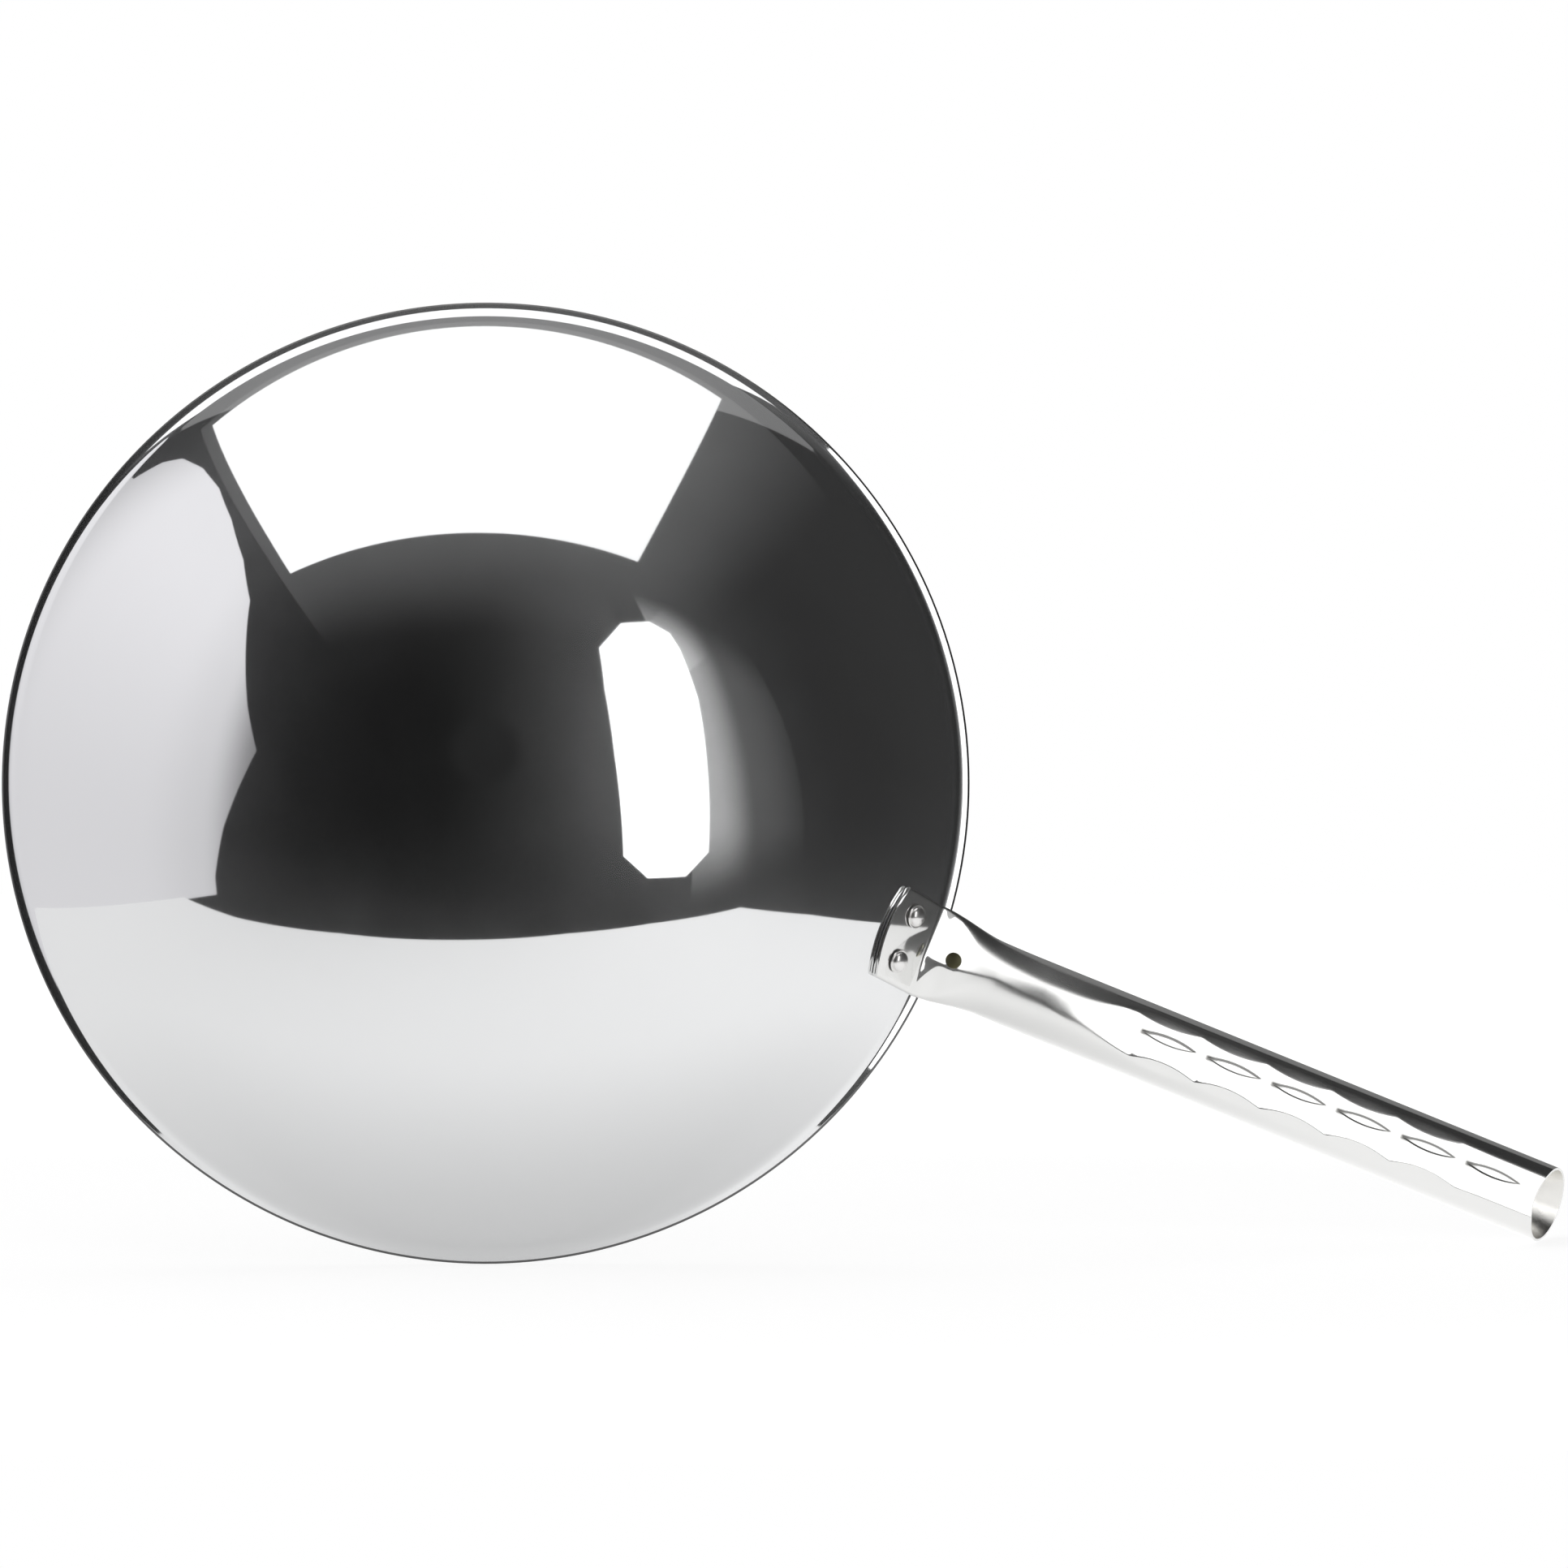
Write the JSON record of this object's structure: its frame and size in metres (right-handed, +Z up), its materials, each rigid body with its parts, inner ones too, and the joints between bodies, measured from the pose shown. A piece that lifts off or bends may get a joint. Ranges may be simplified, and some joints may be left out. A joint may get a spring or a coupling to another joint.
{
  "type": "stainless steel wok",
  "caption": "Round-bottomed polished steel wok with a turned-out lip and a hollow tube handle, its flattened root riveted under the rim and flat finger pads along its grip.",
  "frame": {"origin": "middle of the bowl's underside, where the wok stands", "axes": "+Z up through the open side of the bowl, +X along the handle as seen from above"},
  "size_m": [0.6077, 0.356, 0.149],
  "materials": {
    "bowl_steel": "mirror-polished stainless steel with faint spinning lines",
    "handle_steel": "polished stainless steel tube",
    "rivet_steel": "bright stainless steel rivet"
  },
  "bodies": {
    "root": {"bowl": "bowl_steel", "handle": "handle_steel", "rivet_left": "rivet_steel", "rivet_right": "rivet_steel"}
  },
  "joints": []
}
